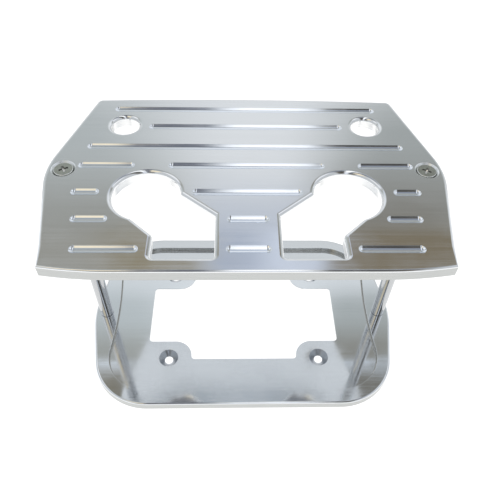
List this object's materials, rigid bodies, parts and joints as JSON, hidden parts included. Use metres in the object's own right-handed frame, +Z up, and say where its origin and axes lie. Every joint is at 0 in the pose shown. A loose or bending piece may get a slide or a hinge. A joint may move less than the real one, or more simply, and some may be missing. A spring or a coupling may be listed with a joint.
{
  "type": "battery tray",
  "caption": "Machined automotive battery tray with a grooved hold-down plate carried on round rods at its sides, held by countersunk screws.",
  "frame": {"origin": "middle of the tray's underside, on the surface that it stands on", "axes": "+X across the width, through both rods; -Y to the front, the side with the terminal cut-outs; +Z up"},
  "size_m": [0.3072, 0.2032, 0.2012],
  "materials": {
    "tray_aluminium": "fine satin machined face with bright rounded edges",
    "plate_aluminium": "satin face with fine grain along its width, polished ball-milled grooves and rounded edges",
    "rod_aluminium": "polished turned rod",
    "screw_steel": "stainless steel, turned head with a cross recess"
  },
  "bodies": {
    "base": {"tray": "tray_aluminium", "rod_left": "rod_aluminium", "rod_right": "rod_aluminium", "bottom_screw_left": "screw_steel", "bottom_screw_right": "screw_steel"},
    "hold_down_plate": {"top_plate": "plate_aluminium"},
    "screw_left": {"top_screw_left": "screw_steel"},
    "screw_right": {"top_screw_right": "screw_steel"}
  },
  "joints": [
    {"name": "plate_lift", "type": "slide", "parent": "base", "child": "hold_down_plate", "axis": [0, 0, 1], "range_m": [0, 0.05]},
    {"name": "screw_left_turn", "type": "hinge", "parent": "hold_down_plate", "child": "screw_left", "pos_m": [-0.1403, 0, 0.2], "axis": [0, 0, 1], "continuous": true},
    {"name": "screw_right_turn", "type": "hinge", "parent": "hold_down_plate", "child": "screw_right", "pos_m": [0.1403, 0, 0.2], "axis": [0, 0, 1], "continuous": true}
  ]
}
